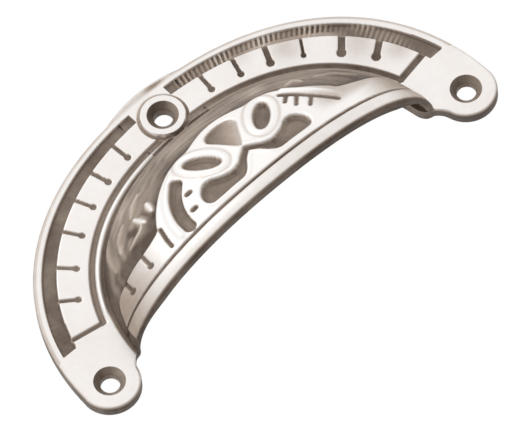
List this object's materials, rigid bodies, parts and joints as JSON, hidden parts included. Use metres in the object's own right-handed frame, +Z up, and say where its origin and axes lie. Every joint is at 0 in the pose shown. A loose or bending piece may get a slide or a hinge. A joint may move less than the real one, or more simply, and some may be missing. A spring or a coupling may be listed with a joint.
{
  "type": "cup pull",
  "caption": "Cast cup pull with an arched ornamented plate, countersunk screw holes and a hollow relief-decorated cup for the fingers.",
  "frame": {"origin": "middle of the line between the two ear screw holes, on the plate's back face", "axes": "+X along the pull, +Y into the drawer front, +Z up"},
  "size_m": [0.1006, 0.0216, 0.048],
  "materials": {
    "pull_metal": "nickel-pale polish with dark patina in the recesses"
  },
  "bodies": {
    "root": {"cup_pull": "pull_metal"}
  },
  "joints": []
}
